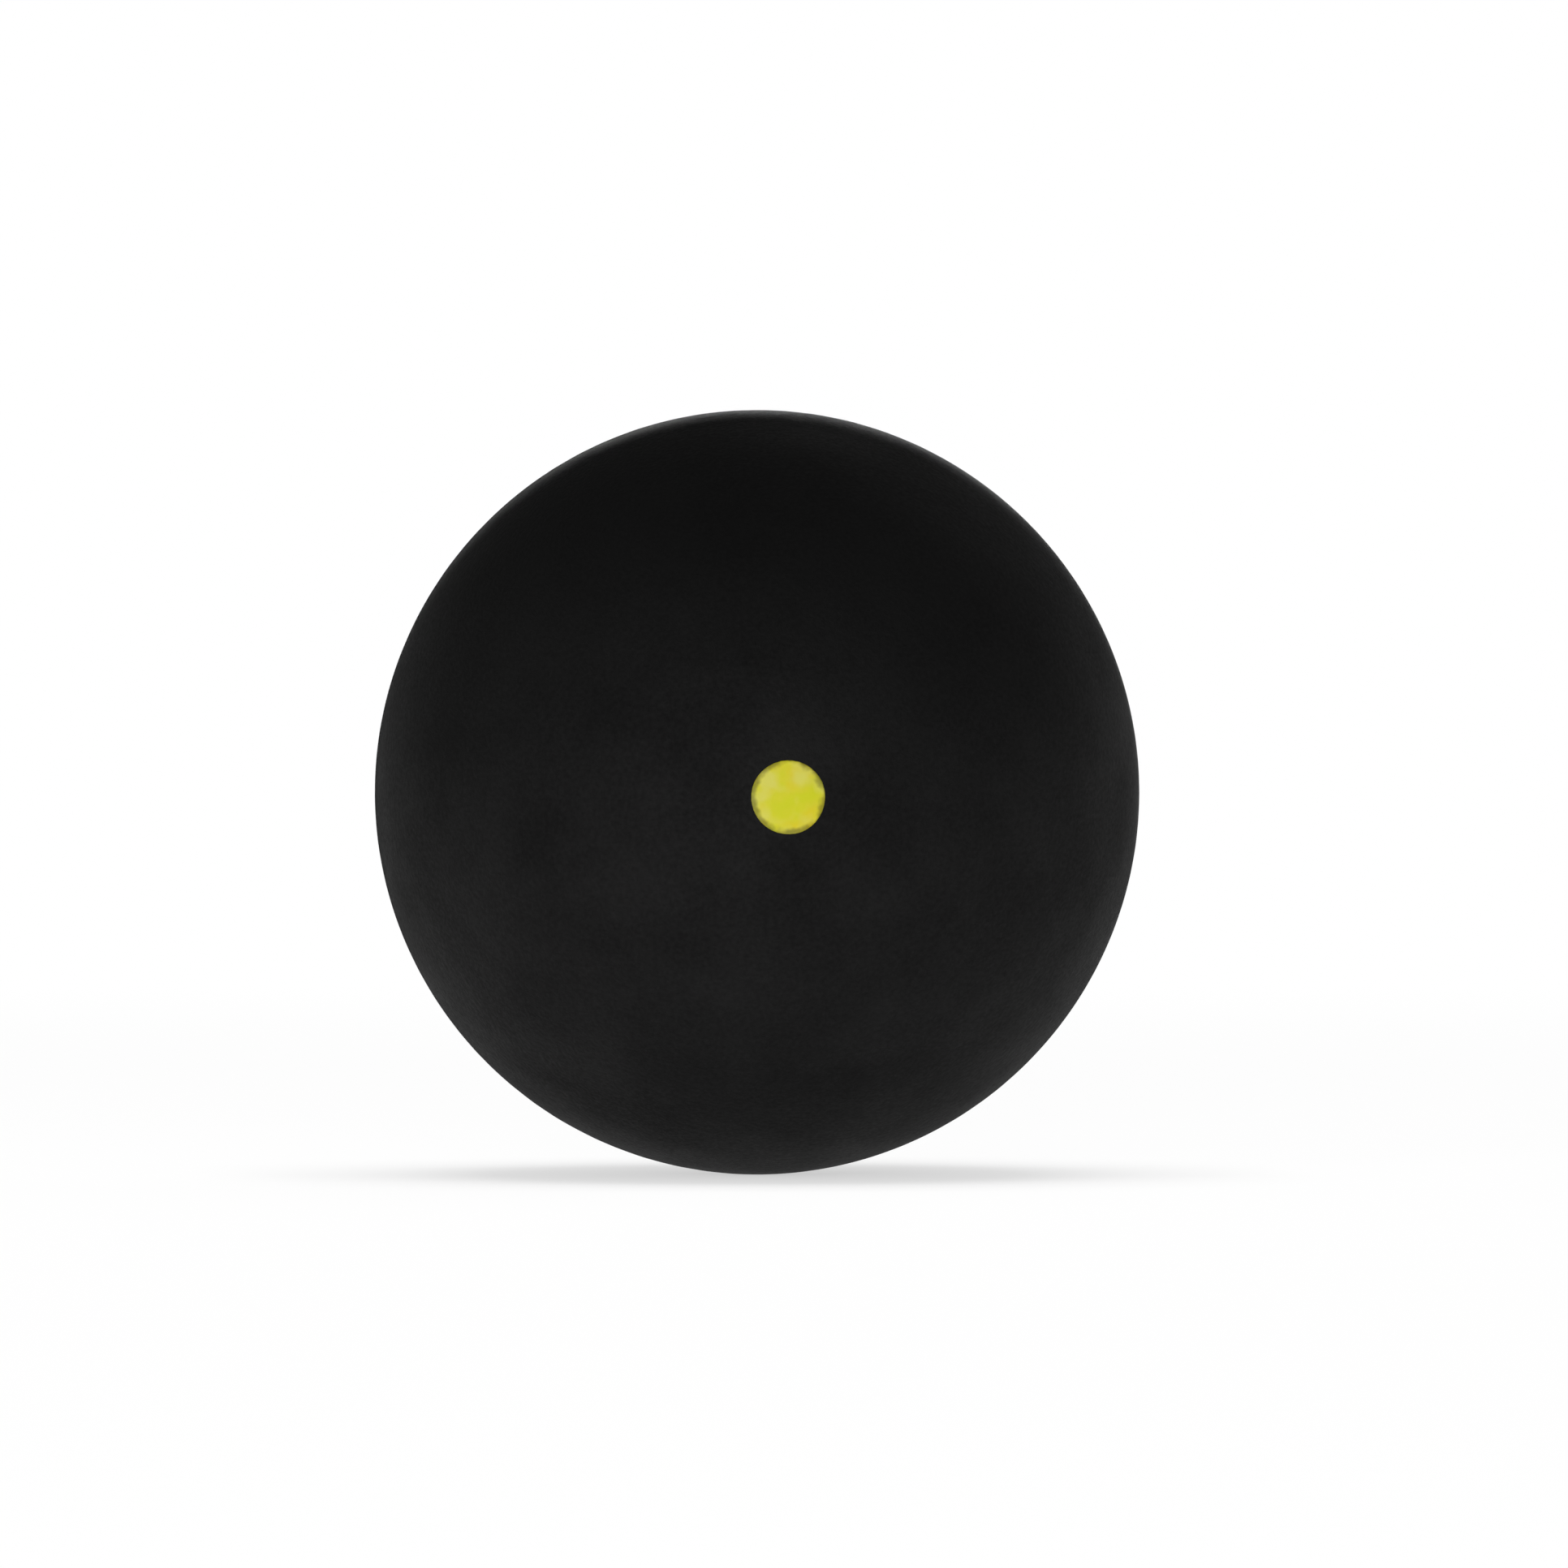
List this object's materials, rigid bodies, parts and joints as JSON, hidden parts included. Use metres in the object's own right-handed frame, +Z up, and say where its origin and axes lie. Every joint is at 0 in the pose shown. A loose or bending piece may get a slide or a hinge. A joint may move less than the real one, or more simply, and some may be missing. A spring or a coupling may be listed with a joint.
{
  "type": "squash ball",
  "caption": "Small hollow black rubber squash ball of two cemented half-shells, with a yellow printed dot; bounces low when struck with a racket.",
  "frame": {"origin": "centre of the ball", "axes": "+Z up; the ball's axis is Y, with the printed dot on the -Y pole, facing the front, and the seam in the XZ plane"},
  "size_m": [0.04, 0.04, 0.04],
  "materials": {
    "black_rubber": "matte",
    "rubber_cement": "satin",
    "yellow_ink": "satin"
  },
  "bodies": {
    "root": {"front_half_shell": "black_rubber", "rear_half_shell": "black_rubber", "seam_cement": "rubber_cement", "yellow_dot": "yellow_ink"}
  },
  "joints": []
}
